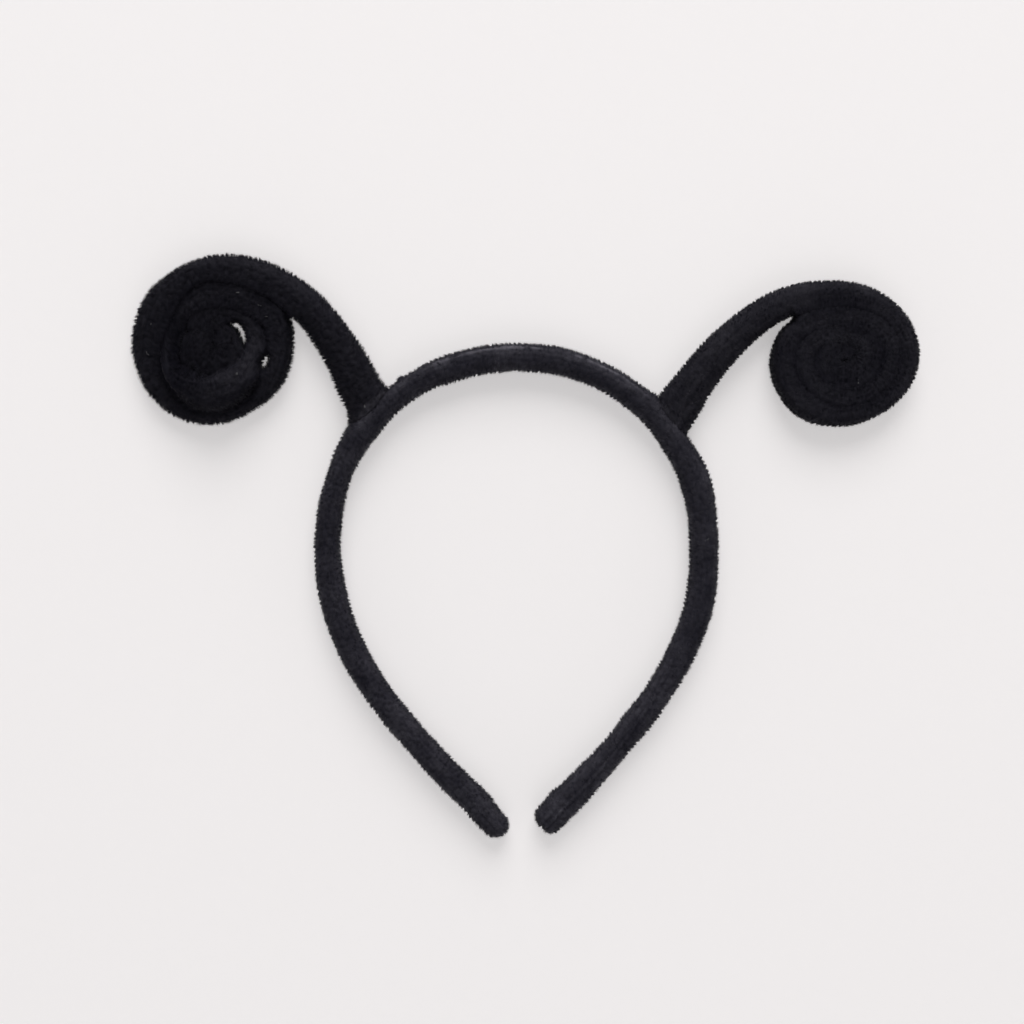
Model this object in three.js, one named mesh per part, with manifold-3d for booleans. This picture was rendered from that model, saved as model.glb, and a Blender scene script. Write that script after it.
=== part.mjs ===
import * as THREE from "three";
import { mergeVertices } from "three/addons/utils/BufferGeometryUtils.js";
import Module from "manifold-3d";

// Antenna headband: a stuffed velour hoop and two stuffed stalks rolled into coils.
// Millimetres and degrees. It lies on its side: +Z up, +Y from the tips toward the crown.

const SEAT_GAP = 0.3; // clearance between a stalk's foot and the hoop's outer face
const FLOOR_SINK = 0.35; // depth by which a soft underside is pressed flat
const SECTION_POWER = 2.4; // 2 is an ellipse, larger is squarer
const SECTION_SIDES = 16;
const WALK_ANGLE = 1; // finest step along a run
const STATION_LENGTH = 5; // longest distance between two sections
const STATION_TURN = 13; // largest turn about the middle between two sections
const DOME_STEPS = 3;
const DOME_POWER = 0.8; // below 1 makes a blunter end
const HOOP_TIP_DOME = 3.9;
const COIL_END_DOME = 2.4;
const WELD_DISTANCE = 1e-4;

// Middles of the polar tables, from the middle of the crown's arc.
const HOOP_MIDDLE = new THREE.Vector2(0, 0);
const LEFT_COIL_MIDDLE = new THREE.Vector2(-91, 62.2);
const RIGHT_COIL_MIDDLE = new THREE.Vector2(98.5, 58.1);

// A row for each section: its angle and distance from the middle, its width in the plan,
// its depth along Z, and the lift of its underside off the floor.
const COLUMNS = ["angle", "radius", "width", "depth", "lift"];

// From the right tip over the crown to the left tip.
const HOOP_SECTIONS = [
  [-83.5, 86.4, 8.8, 9.6, 0],
  [-80, 82.0, 8.8, 9.8, 0],
  [-75, 77.2, 8.4, 10, 0],
  [-68, 72.0, 8.0, 10, 0],
  [-55, 65.6, 7.8, 10, 0],
  [-40, 61.6, 8.0, 10, 0],
  [-20, 58.8, 8.4, 10, 0],
  [0, 56.9, 8.4, 10, 0],
  [15, 57.2, 8.8, 10, 0],
  [28, 57.0, 8.0, 10, 0],
  [45, 57.3, 7.6, 10, 0],
  [90, 57.2, 7.8, 10, 0],
  [130, 57.4, 7.4, 10, 0],
  [160, 57.4, 7.2, 10, 0],
  [180, 57.4, 7.4, 10, 0],
  [200, 58.3, 8.0, 10, 0],
  [220, 60.9, 8.2, 10, 0],
  [235, 64.6, 7.9, 10, 0],
  [248, 71.0, 8.2, 10, 0],
  [257, 77.4, 8.4, 10, 0],
  [262, 82.1, 8.6, 9.9, 0],
  [265.3, 86.8, 8.0, 9.6, 0],
];

// From the foot up the stalk, then round the coil; the second turn climbs over the first below.
const LEFT_SECTIONS = [
  [-25, 54.5, 15.2, 9.2, 0],
  [-20, 48.4, 12.8, 9.4, 0],
  [-8, 39.9, 11.0, 10, 0],
  [10, 32.4, 9.8, 10, 0],
  [25, 28.2, 9.0, 10, 0],
  [40, 25.5, 8.8, 10, 0],
  [75, 21.7, 7.6, 10, 0],
  [100, 20.6, 6.6, 10, 0],
  [125, 19.1, 7.6, 10, 0],
  [160, 18.4, 9.6, 9.5, 0],
  [190, 19.8, 8.8, 9, 0],
  [225, 21.1, 7.6, 8.5, 0],
  [270, 21.6, 6.8, 8, 0],
  [310, 21.1, 6.8, 8.5, 0],
  [355, 20.3, 7.2, 9, 0],
  [375, 20.2, 7.2, 9, 0],
  [400, 16.7, 6.9, 9, 0],
  [430, 14.0, 7.0, 9, 0],
  [460, 13.2, 7.0, 9, 0],
  [485, 11.8, 5.5, 9, 0],
  [520, 9.9, 6.4, 9, 0],
  [550, 11.2, 6.4, 9, 0.6],
  [585, 13.6, 7.0, 9, 4.2],
  [630, 16.8, 8.0, 8.5, 7.2],
  [660, 15.6, 7.6, 8.5, 6.2],
  [690, 14.2, 5.8, 8.5, 2.8],
  [720, 13.2, 5.0, 8.5, 0.5],
  [755, 10.7, 3.9, 8.5, 0],
  [790, 7.4, 4.3, 8.5, 0],
  [830, 5.6, 5.8, 8, 0],
  [880, 3.3, 5.5, 8.2, 0],
  [920, 4.1, 6.4, 8.2, 0],
  [970, 6.3, 8.8, 8.2, 0],
  [1015, 6.7, 9.8, 7.8, 0],
  [1060, 6.3, 8.2, 7.6, 0],
  [1085, 5.5, 6.6, 7.4, 0],
  [1108, 4.7, 5.0, 7.2, 0],
];

// The same way round, drawn in the mirror across X; a flat, tighter coil.
const RIGHT_SECTIONS = [
  [-22, 57.3, 13.6, 9.2, 0],
  [-17, 51.4, 12.6, 9.4, 0],
  [-10, 44.6, 10.8, 10, 0],
  [5, 35.2, 9.9, 10.5, 0],
  [30, 25.6, 8.5, 10.5, 0],
  [60, 19.6, 7.5, 10.5, 0],
  [85, 17.7, 7.2, 10.5, 0],
  [110, 17.1, 6.8, 10.5, 0],
  [135, 17.6, 5.8, 10.5, 0],
  [160, 18.6, 5.4, 10.5, 0],
  [190, 19.1, 5.9, 10.5, 0],
  [225, 19.0, 6.1, 10.5, 0],
  [255, 18.8, 5.8, 10.5, 0],
  [300, 19.4, 6.1, 10.5, 0],
  [340, 19.6, 6.2, 10.5, 0],
  [370, 18.2, 6.0, 10.5, 0],
  [390, 15.8, 6.0, 10.5, 0],
  [415, 12.4, 5.5, 10.5, 0],
  [445, 10.8, 5.3, 10.5, 0],
  [480, 11.0, 4.9, 10.5, 0],
  [520, 12.8, 4.8, 10.5, 0],
  [560, 13.4, 4.6, 10.5, 0],
  [610, 13.1, 4.7, 10.5, 0],
  [660, 13.2, 5.0, 10.5, 0],
  [705, 13.0, 5.0, 10.5, 0],
  [735, 11.1, 4.4, 10.5, 0],
  [765, 7.9, 3.7, 10.5, 0],
  [795, 6.1, 3.8, 10.5, 0],
  [835, 5.8, 4.3, 10.5, 0],
  [875, 6.8, 5.2, 10.5, 0],
  [920, 7.2, 6.6, 10.5, 0],
  [970, 6.8, 7.0, 10.5, 0],
  [1020, 6.4, 7.4, 10.5, 0],
  [1060, 5.4, 7.8, 10.5, 0],
  [1090, 3.9, 6.4, 10.5, 0],
  [1115, 2.6, 4.6, 10.5, 0],
  [1150, 1.9, 3.2, 10.5, 0],
  [1200, 1.8, 2.8, 10.5, 0],
];

// Reads a table smoothly at any angle, by column name.
function tableReader(rows) {
  const angles = rows.map((row) => row[0]);
  const sizes = rows.flatMap((row) => row.slice(1));
  const curve = new THREE.CubicInterpolant(angles, sizes, COLUMNS.length - 1);
  return (angle) => {
    const found = curve.evaluate(angle);
    return Object.fromEntries(COLUMNS.slice(1).map((name, i) => [name, found[i]]));
  };
}

// The middle of the section at an angle, in the plan.
function planPoint(read, middle, side, angle) {
  const turn = THREE.MathUtils.degToRad(angle);
  const { radius } = read(angle);
  return new THREE.Vector2(side * radius * Math.cos(turn), radius * Math.sin(turn)).add(middle);
}

// Angles of the sections: closer together where the run turns tightly.
function stationAngles(read, middle, side, first, last) {
  const angles = [first];
  let previous = planPoint(read, middle, side, first);
  let travelled = 0;
  for (let angle = first + WALK_ANGLE; angle < last; angle += WALK_ANGLE) {
    const here = planPoint(read, middle, side, angle);
    travelled += here.distanceTo(previous);
    previous = here;
    const turned = angle - angles[angles.length - 1];
    if (travelled >= STATION_LENGTH || turned >= STATION_TURN) {
      angles.push(angle);
      travelled = 0;
    }
  }
  angles.push(last);
  return angles;
}

// Height of a section's middle above the floor.
function middleHeight({ depth, lift }) {
  return lift - FLOOR_SINK + depth / 2;
}

// One upright section: a rounded box about the run's middle line, cut off flat at the floor.
function sectionRing(section, grow, scale, shift) {
  const { point, across, width, depth } = section;
  const floor = -grow;
  const halfWidth = (width / 2 + grow) * scale;
  const halfDepth = (depth / 2 + grow) * scale;
  const bend = 2 / SECTION_POWER;
  const ring = [];
  for (let k = 0; k < SECTION_SIDES; k++) {
    const a = (2 * Math.PI * k) / SECTION_SIDES;
    const u = Math.sign(Math.cos(a)) * Math.abs(Math.cos(a)) ** bend * halfWidth;
    const v = Math.sign(Math.sin(a)) * Math.abs(Math.sin(a)) ** bend * halfDepth;
    const foot = point.clone().add(shift).addScaledVector(across, u);
    ring.push(new THREE.Vector3(foot.x, foot.y, Math.max(middleHeight(section) + v, floor)));
  }
  return ring;
}

// Closes one end of a run in a rounded dome: shrinking rings, then a point. No length is a flat end.
function endCap(section, grow, outward, length) {
  const reach = length ? length + grow : 0;
  const rings = [];
  for (let i = 1; length && i <= DOME_STEPS; i++) {
    const a = (Math.PI / 2) * (i / (DOME_STEPS + 1));
    const shift = outward.clone().multiplyScalar(reach * Math.sin(a));
    rings.push(sectionRing(section, grow, Math.cos(a) ** DOME_POWER, shift));
  }
  const tip = section.point.clone().addScaledVector(outward, reach);
  return { rings, pole: new THREE.Vector3(tip.x, tip.y, middleHeight(section)) };
}

// The closed solid of one run, grown all round by a clearance where one is asked for.
function sweptSolid(rows, middle, side, domes, grow = 0) {
  const read = tableReader(rows);
  const first = rows[0][0];
  const last = rows[rows.length - 1][0];
  const sections = stationAngles(read, middle, side, first, last).map((angle) => {
    const before = planPoint(read, middle, side, Math.max(angle - WALK_ANGLE / 2, first));
    const after = planPoint(read, middle, side, Math.min(angle + WALK_ANGLE / 2, last));
    const along = after.sub(before).normalize();
    const across = new THREE.Vector2(along.y, -along.x);
    return { point: planPoint(read, middle, side, angle), along, across, ...read(angle) };
  });
  const still = new THREE.Vector2();
  const body = sections.map((section) => sectionRing(section, grow, 1, still));
  const start = sections[0];
  const end = sections[sections.length - 1];
  const startCap = endCap(start, grow, start.along.clone().negate(), domes.start);
  const finishCap = endCap(end, grow, end.along, domes.end);
  const rings = [...startCap.rings.reverse(), ...body, ...finishCap.rings];
  return loftGeometry(rings, startCap.pole, finishCap.pole);
}

// Skins a row of rings, with a point at each end.
function loftGeometry(rings, startPole, endPole) {
  const corners = [...rings.flat(), startPole, endPole];
  const startIndex = corners.length - 2;
  const endIndex = corners.length - 1;
  const lastRing = (rings.length - 1) * SECTION_SIDES;
  const triangles = [];
  for (let k = 0; k < SECTION_SIDES; k++) {
    const next = (k + 1) % SECTION_SIDES;
    for (let i = 0; i < rings.length - 1; i++) {
      const near = i * SECTION_SIDES;
      const far = near + SECTION_SIDES;
      triangles.push(near + k, far + k, far + next);
      triangles.push(near + k, far + next, near + next);
    }
    triangles.push(startIndex, k, next);
    triangles.push(endIndex, lastRing + next, lastRing + k);
  }
  return new THREE.BufferGeometry().setFromPoints(corners).setIndex(triangles);
}

const wasm = await Module();
wasm.setup();

function toSolid(geometry) {
  const welded = mergeVertices(geometry, WELD_DISTANCE);
  return new wasm.Manifold(
    new wasm.Mesh({
      numProp: 3,
      vertProperties: welded.attributes.position.array,
      triVerts: new Uint32Array(welded.index.array),
    }),
  );
}

function toGeometry(solid) {
  const mesh = solid.getMesh();
  return new THREE.BufferGeometry()
    .setAttribute("position", new THREE.BufferAttribute(mesh.vertProperties, 3))
    .setIndex(new THREE.BufferAttribute(mesh.triVerts, 1));
}

// A stalk's foot is hollowed to the hoop's outer face, less the seat's clearance.
function seatOnHoop(stalk, hoopWithClearance) {
  return toGeometry(toSolid(stalk).subtract(toSolid(hoopWithClearance)));
}

function velourMesh(name, geometry, color) {
  geometry.computeVertexNormals();
  const material = new THREE.MeshStandardMaterial({ color, roughness: 1, metalness: 0 });
  const mesh = new THREE.Mesh(geometry, material);
  mesh.name = name;
  return mesh;
}

const BAND_COLOR = 0x222127;
const ANTENNA_COLOR = 0x1a191e;

const hoopDomes = { start: HOOP_TIP_DOME, end: HOOP_TIP_DOME };
const coilDomes = { start: 0, end: COIL_END_DOME };
const hoop = sweptSolid(HOOP_SECTIONS, HOOP_MIDDLE, 1, hoopDomes);
const hoopClearance = sweptSolid(HOOP_SECTIONS, HOOP_MIDDLE, 1, hoopDomes, SEAT_GAP);
const leftStalk = sweptSolid(LEFT_SECTIONS, LEFT_COIL_MIDDLE, 1, coilDomes);
const rightStalk = sweptSolid(RIGHT_SECTIONS, RIGHT_COIL_MIDDLE, -1, coilDomes);

const pieces = new THREE.Group();
pieces.add(velourMesh("headband", hoop, BAND_COLOR));
pieces.add(velourMesh("antenna_left", seatOnHoop(leftStalk, hoopClearance), ANTENNA_COLOR));
pieces.add(velourMesh("antenna_right", seatOnHoop(rightStalk, hoopClearance), ANTENNA_COLOR));

// The part's origin is under the middle of its outline, on the floor.
const outline = new THREE.Box3().setFromObject(pieces, true);
const outlineMiddle = outline.getCenter(new THREE.Vector3());
pieces.position.set(-outlineMiddle.x, -outlineMiddle.y, -outline.min.z);

const part = new THREE.Group();
part.name = "antenna_headband";
part.add(pieces);

export default part;
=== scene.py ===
import math

import bpy
import numpy as np
from mathutils import Matrix, Vector


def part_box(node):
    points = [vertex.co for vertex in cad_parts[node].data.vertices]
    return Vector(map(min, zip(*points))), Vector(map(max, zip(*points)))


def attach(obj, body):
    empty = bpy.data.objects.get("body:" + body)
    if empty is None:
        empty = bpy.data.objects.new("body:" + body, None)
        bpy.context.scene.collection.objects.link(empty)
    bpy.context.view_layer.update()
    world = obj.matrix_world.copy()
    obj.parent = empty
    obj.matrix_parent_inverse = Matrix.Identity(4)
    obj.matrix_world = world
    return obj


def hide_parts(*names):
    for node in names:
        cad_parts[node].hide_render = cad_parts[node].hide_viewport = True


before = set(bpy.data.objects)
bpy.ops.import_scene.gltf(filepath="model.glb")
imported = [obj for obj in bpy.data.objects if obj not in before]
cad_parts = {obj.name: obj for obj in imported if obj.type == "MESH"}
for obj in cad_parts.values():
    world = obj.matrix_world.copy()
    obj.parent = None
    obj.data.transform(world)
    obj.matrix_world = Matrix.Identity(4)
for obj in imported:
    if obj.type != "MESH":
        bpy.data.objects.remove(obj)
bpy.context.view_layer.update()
mm = 0.001
print("frame loaded:", sorted(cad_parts))

# Sizes are in mm and angles in degrees, from the middle of the crown's arc.
# A row of a run: angle and distance from the run's middle, width in the plan, depth, lift off the floor.
# A dent or bulge: angle on the run, angle round the section (0 its right side, 90 up), height, reach.
headband = {
    "node": "headband",
    "middle": (0.0, 0.0),
    "side": 1,
    "rows": [
        (-83.5, 86.4, 8.8, 9.6, 0), (-80, 82.0, 8.8, 9.8, 0), (-75, 77.2, 8.4, 10, 0),
        (-68, 72.0, 8.0, 10, 0), (-55, 65.6, 7.8, 10, 0), (-40, 61.6, 8.0, 10, 0),
        (-20, 58.8, 8.4, 10, 0), (0, 56.9, 8.4, 10, 0), (15, 57.2, 8.8, 10, 0),
        (28, 57.0, 8.0, 10, 0), (45, 57.3, 7.6, 10, 0), (90, 57.2, 7.8, 10, 0),
        (130, 57.4, 7.4, 10, 0), (160, 57.4, 7.2, 10, 0), (180, 57.4, 7.4, 10, 0),
        (200, 58.3, 8.0, 10, 0), (220, 60.9, 8.2, 10, 0), (235, 64.6, 7.9, 10, 0),
        (248, 71.0, 8.2, 10, 0), (257, 77.4, 8.4, 10, 0), (262, 82.1, 8.6, 9.9, 0),
        (265.3, 86.8, 8.0, 9.6, 0)],
    "startDome": 3.0,  # length of a rounded end
    "endDome": 5.0,
    "domePower": 0.8,  # less is squarer
    "inset": 0.16,  # from the outer form down to the cloth under the pile
    "dents": [
        (-83.5, 0, -0.5, 2.5), (-83, 180, 0.1, 2.5), (-80, 175, 0.6, 2.5), (-77, 0, 0.45, 6.0),
        (-75, 180, -0.25, 5.0), (-69, 180, -0.45, 5.0), (-62, 180, -0.4, 7.0), (-58, 180, 0.3, 3.0),
        (-53, 0, 0.3, 7.0), (-49, 180, -0.4, 7.0), (-27, 0, -0.25, 8.0), (10, 180, -0.25, 8.0),
        (12, 0, -0.2, 5.0), (19.9, 15, 0.5, 5.0), (23, 180, -0.3, 6.0), (27, 0, 0.4, 4.5),
        (33, 180, 0.35, 3.0), (47.5, 15, 0.8, 2.2), (54, 180, 0.35, 7.0), (65, 0, -0.35, 8.0),
        (86, 180, 0.3, 8.0), (88, 0, -0.35, 9.0), (91, 180, -0.45, 2.0), (96, 180, 0.5, 7.0),
        (104, 0, -0.5, 9.0), (108, 180, 0.3, 7.0), (120, 180, -0.3, 6.0), (124.7, 15, 1.1, 1.0),
        (131, 180, -0.45, 6.0), (143, 0, 1.5, 4.5), (151, 0, 0.6, 5.0), (156, 180, -0.45, 7.0),
        (230, 180, -0.3, 7.0), (236, 0, 0.3, 4.0), (242, 0, -0.4, 8.0), (250, 0, -0.25, 9.0),
        (260, 0, -0.3, 6.0), (262, 180, -0.25, 4.0), (264.5, 180, -0.5, 3.0)],
    # angle on the run, angle round the section
    "seam": [(-83.5, 88), (-75, 86), (-65, 86), (-50, 100), (-35, 125), (-17, 155)],
    # run angles from and to, section angle, half width, gain in tone: strips of painted highlight, as along
    # the crown's top and on the legs; a gain below 0 paints shade
    "paintedLight": [(52, 118, 47, 0.55, 4.0), (10, 170, 52, 1.5, 0.75), (30, 95, 75, 1.6, 0.35),
                (-125, -25, 90, 8, 0.7), (205, 305, 90, 8, 0.36)],
    "mottle": 0.95,  # how much the tufts differ in tone
    "streaks": 0.3,  # of the lines along the nap
    "patches": 0.4,  # crushed places
    "level": 0,  # top of the pressed middle of the coil, 0 as it is
    "lint": [(13.64, -81.57), (57.29, 2.72)],  # places in the plan
    "tuft": 1.35,  # distance between tufts of the pile
    "tuftRise": 0.88,
    "pressedPower": 0,  # makes the pressed sides of a turn squarer
    "creaseShade": 1,  # painted shade: tone against the rest, down where two turns meet
    "coreShade": 1,  # painted shade in the recessed middle of the coil
    "calm": (0, 0, 0),  # place and radius where no creases show
    "strands": 48000,
    "tone": 1.0,  # share of the velour's full colour
    "fill": 0.8,
    "seed": 11,
}
antennaLeft = {
    "node": "antenna_left",
    "middle": (-91.0, 62.2),
    "side": 1,
    "rows": [
        (-25, 54.5, 15.2, 9.2, 0), (-20, 48.4, 12.8, 9.4, 0), (-8, 39.9, 11.0, 10, 0),
        (10, 32.4, 9.8, 10, 0), (25, 28.2, 9.0, 10, 0), (40, 25.5, 8.8, 10, 0),
        (75, 21.7, 7.6, 10, 0), (100, 20.6, 6.6, 10, 0), (125, 19.1, 7.6, 10, 0),
        (160, 18.4, 9.6, 9.5, 0), (190, 19.8, 8.8, 9, 0), (225, 21.1, 7.6, 8.5, 0),
        (270, 21.6, 6.8, 8, 0), (310, 21.1, 6.8, 8.5, 0), (355, 20.3, 7.2, 9, 0),
        (375, 20.2, 7.2, 9, 0), (400, 16.7, 6.9, 9, 0), (430, 14.0, 7.0, 9, 0),
        (460, 13.2, 7.0, 9, 0), (485, 11.8, 5.5, 9, 0), (520, 9.9, 6.4, 9, 0),
        (550, 11.2, 6.4, 9, 0.6), (585, 13.6, 7.0, 9, 4.2), (630, 16.8, 8.0, 8.5, 7.2),
        (660, 15.6, 7.6, 8.5, 6.2), (690, 14.2, 5.8, 8.5, 2.8), (720, 13.2, 5.0, 8.5, 0.5),
        (755, 10.7, 3.9, 8.5, 0), (790, 7.4, 4.3, 8.5, 0), (830, 5.6, 5.8, 8, 0),
        (880, 3.3, 5.5, 8.2, 0), (920, 4.1, 6.4, 8.2, 0), (970, 6.3, 8.8, 8.2, 0),
        (1015, 6.7, 9.8, 7.8, 0), (1060, 6.3, 8.2, 7.6, 0), (1085, 5.5, 6.6, 7.4, 0),
        (1108, 4.7, 5.0, 7.2, 0)],
    "startDome": 0,
    "endDome": 6.4,
    "domePower": 0.4,
    "inset": 0.32,
    "dents": [
        (-25, 180, 1.6, 4.5), (-20, 0, -0.35, 6.0), (-16, 180, 0.8, 6.0), (2, 180, 0.4, 6.0),
        (12, 0, 0.3, 6.0), (25, 0, 0.45, 6.0), (112, 0, -0.25, 6.0), (148, 0, 0.25, 6.0),
        (233, 0, 0.6, 6.0), (249, 0, 0.4, 5.0), (265, 0, 0.3, 5.0), (300, 0, -0.9, 7.0),
        (365, 0, -0.2, 6.0), (505, 135, -0.7, 5.0), (535, 135, -0.9, 5.0), (562, 140, -0.7, 5.0)],
    "seam": [],
    # painted shade over runs 490 to 625, painted highlights on the raised pass's inner rims
    "paintedLight": [(490, 625, 90, 9, -0.5), (615, 725, 120, 2.4, 0.55), (640, 725, 146, 0.7, 0.9)],
    # place in the plan, reach, spread of the sides there, and which side: 1 right, -1 left, 0 both;
    # a spread below 0 leaves a sliver open
    "eased": [
        (-88.9, 67.6, 2.2, 1.8, -1), (-91.7, 65.6, 2.6, 1.8, 0), (-92.4, 61.2, 2.8, 1.6, 0),
        (-94.1, 57.1, 2.8, 1.4, 0), (-83.8, 67.4, 1.8, -1.1, -1), (-82.3, 65.4, 1.8, -0.3, -1),
        (-81.6, 63.5, 1.6, -0.2, -1), (-80.8, 61.6, 1.5, 0.4, -1), (-80.4, 59.7, 2.0, 1.0, -1),
        (-81.7, 55.9, 2.6, 1.2, -1), (-84.2, 53.1, 2.6, 1.7, -1), (-88.0, 51.0, 2.6, 1.9, -1),
        (-91.5, 50.0, 2.6, 1.2, -1), (-84.3, 66.0, 1.5, -1.3, 1), (-82.3, 63.4, 1.8, -1.55, 1),
        (-81.5, 61.8, 1.6, -1.8, 1), (-81.0, 59.8, 1.5, -0.8, 1), (-74.9, 56.3, 2.2, -0.85, 0),
        (-75.6, 54.0, 2.2, -0.85, 0), (-75.0, 65.6, 4.0, 1.3, 0), (-69.5, 68.6, 2.6, -0.6, 0),
        (-97.6, 56.6, 4.0, 2.6, 1), (-98.0, 61.5, 3.0, 1.8, 1)],
    "overlap": 0.4,  # of two turns that press on each other
    "mottle": 0.5,
    "streaks": 0.3,
    "patches": 0.1,
    "level": 7.6,
    "lint": [(-44.91, 42.71), (-108.18, 66.43), (-109.58, 57.56), (-76.64, 72.32), (-74.62, 68.79),
             (-82.31, 52.82), (-83.09, 75.85)],
    "tuft": 1.25,
    "tuftRise": 1.3,
    "pressedPower": 4.0,
    "creaseShade": 0.62,
    "coreShade": 0.78,
    "foot": (2.5, 1.3),  # how far the hoop's lighter cloth laps up the stalk, and its gain in tone
    "calm": (-94.2, 60.2, 9.0),
    "strands": 48000,
    "tone": 0.65,
    "fill": 0.7,
    "seed": 23,
}
antennaRight = {
    "node": "antenna_right",
    "middle": (98.5, 58.1),
    "side": -1,  # drawn in the mirror across X
    "rows": [
        (-22, 57.3, 13.6, 9.2, 0), (-17, 51.4, 12.6, 9.4, 0), (-10, 44.6, 10.8, 10, 0),
        (5, 35.2, 9.9, 10.5, 0), (30, 25.6, 8.5, 10.5, 0), (60, 19.6, 7.5, 10.5, 0),
        (85, 17.7, 7.2, 10.5, 0), (110, 17.1, 6.8, 10.5, 0), (135, 17.6, 5.8, 10.5, 0),
        (160, 18.6, 5.4, 10.5, 0), (190, 19.1, 5.9, 10.5, 0), (225, 19.0, 6.1, 10.5, 0),
        (255, 18.8, 5.8, 10.5, 0), (300, 19.4, 6.1, 10.5, 0), (340, 19.6, 6.2, 10.5, 0),
        (370, 18.2, 6.0, 10.5, 0), (390, 15.8, 6.0, 10.5, 0), (415, 12.4, 5.5, 10.5, 0),
        (445, 10.8, 5.3, 10.5, 0), (480, 11.0, 4.9, 10.5, 0), (520, 12.8, 4.8, 10.5, 0),
        (560, 13.4, 4.6, 10.5, 0), (610, 13.1, 4.7, 10.5, 0), (660, 13.2, 5.0, 10.5, 0),
        (705, 13.0, 5.0, 10.5, 0), (735, 11.1, 4.4, 10.5, 0), (765, 7.9, 3.7, 10.5, 0),
        (795, 6.1, 3.8, 10.5, 0), (835, 5.8, 4.3, 10.5, 0), (875, 6.8, 5.2, 10.5, 0),
        (920, 7.2, 6.6, 10.5, 0), (970, 6.8, 7.0, 10.5, 0), (1020, 6.4, 7.4, 10.5, 0),
        (1060, 5.4, 7.8, 10.5, 0), (1090, 3.9, 6.4, 10.5, 0), (1115, 2.6, 4.6, 10.5, 0),
        (1150, 1.9, 3.2, 10.5, 0), (1200, 1.8, 2.8, 10.5, 0)],
    "startDome": 0,
    "endDome": 5.0,
    "domePower": 0.4,
    "inset": 0.32,
    "dents": [
        (-19, 0, 0.15, 5.0), (-18, 180, 0.45, 6.0), (-9, 180, 0.4, 7.0), (8, 180, 0.2, 7.0),
        (10, 0, 0.3, 7.0), (38, 180, 0.35, 8.0), (55, 180, 0.3, 7.0), (105, 180, 0.25, 6.0),
        (139, 180, 0.45, 6.0), (215, 180, -0.55, 7.0), (236, 180, -0.5, 6.0), (308, 180, 0.85, 7.0),
        (350, 180, 0.35, 6.0), (1007, 135, -0.45, 0.8), (1009, 118, -0.5, 0.8), (1011, 100, -0.5, 0.8)],
    "seam": [],
    # painted highlights on the stalk and on the outer ring's upper rim
    "paintedLight": [(-55, 70, 90, 8, 0.42), (75, 330, 118, 2.2, 0.3)],
    "eased": [
        (102.2, 60.4, 2.8, 2.2, 1), (103.0, 58.0, 2.8, 2.4, 1), (99.2, 55.9, 2.2, 1.4, 0),
        (82.2, 68.3, 2.6, -0.3, 0)],
    "overlap": 0.6,
    "mottle": 0.7,
    "streaks": 0.9,
    "patches": 0.2,
    "level": 0,
    "lint": [(101.67, 49.55)],
    "tuft": 1.25,
    "tuftRise": 0.82,
    "pressedPower": 6.0,
    "creaseShade": 0.5,
    "coreShade": 0.95,
    "foot": (1.5, 0.5),
    "calm": (98.5, 58.1, 5.5),
    "strands": 48000,
    "tone": 0.64,
    "fill": 0.75,
    "seed": 37,
}

# the backing cloth under the pile
skin = {
    "power": 2.4,  # 2 is an ellipse, larger is squarer
    "sink": 0.35,  # how far the underside is pressed flat
    "floorGap": 0.14,
    "step": 0.5,  # between rings along a run
    "around": 60,  # points in a ring
    "domeRings": 9,
    "runSteps": 8000,  # before even ones are taken
    "quarterSteps": 80,
    "lumps": [(15.0, 0.28), (6.0, 0.14), (0.9, 0.05)],  # cell and height of the unevenness
    "tuftRise": 0.45,  # share of the tufts that shows in the cloth
    "tuftSpread": 0.75,  # radius of a tuft's mound, in cells
    "tuftPlace": (0.15, 0.85),  # in its cell
    "radius": 4.3,  # of a section, for distances round it
    "seamDepth": 0.3,
    "seamApart": 1.6,
    "seamWidth": 0.34,
    "seamFade": 45,  # along the run
    "levelCore": (0.2, 0.5),  # how high on a section levelling starts and is full, in a coil's middle
    "levelCalm": (-0.05, 0.2),  # the same in the calm place
    "levelEdge": 1.5,  # either way from the calm place's rim
    "footRings": 26,  # that seating a stalk on the hoop draws together
}
# added to a piece's own seed
seeds = {"lumps": 0, "swirl": 7, "crush": 8, "streak": 20, "strip": 30, "patch": 40, "tuft": 50, "pile": 100}


def readRows(rows, angles):
    table = np.array(rows, float)
    knots, sizes = table[:, 0], table[:, 1:]
    slopes = np.diff(sizes, axis=0) / np.diff(knots)[:, None]
    tangents = np.vstack([slopes[:1], (slopes[1:] + slopes[:-1]) / 2, slopes[-1:]])
    low = np.clip(np.searchsorted(knots, angles, side="right") - 1, 0, len(knots) - 2)
    span = knots[low + 1] - knots[low]
    p = ((angles - knots[low]) / span)[:, None]
    span = span[:, None]
    return ((2 * p**3 - 3 * p**2 + 1) * sizes[low] + (p**3 - 2 * p**2 + p) * span * tangents[low]
            + (3 * p**2 - 2 * p**3) * sizes[low + 1] + (p**3 - p**2) * span * tangents[low + 1])


def smoothNoise(points, cell, seed):
    # soft random values from -1 to 1 over points in mm
    size = 32
    lattice = np.random.default_rng(seed).uniform(-1, 1, (size, size, size))
    q = points / cell
    corner = np.floor(q).astype(int)
    f = q - corner
    f = f * f * (3 - 2 * f)
    total = np.zeros(points.shape[:-1])
    for dx in (0, 1):
        for dy in (0, 1):
            for dz in (0, 1):
                share = ((f[..., 0] if dx else 1 - f[..., 0]) * (f[..., 1] if dy else 1 - f[..., 1])
                         * (f[..., 2] if dz else 1 - f[..., 2]))
                total += share * lattice[(corner[..., 0] + dx) % size, (corner[..., 1] + dy) % size,
                                         (corner[..., 2] + dz) % size]
    return total


def pieceNoise(piece, points, cell, use, number=0):
    return smoothNoise(points, cell, piece["seed"] + seeds[use] + number)


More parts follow.
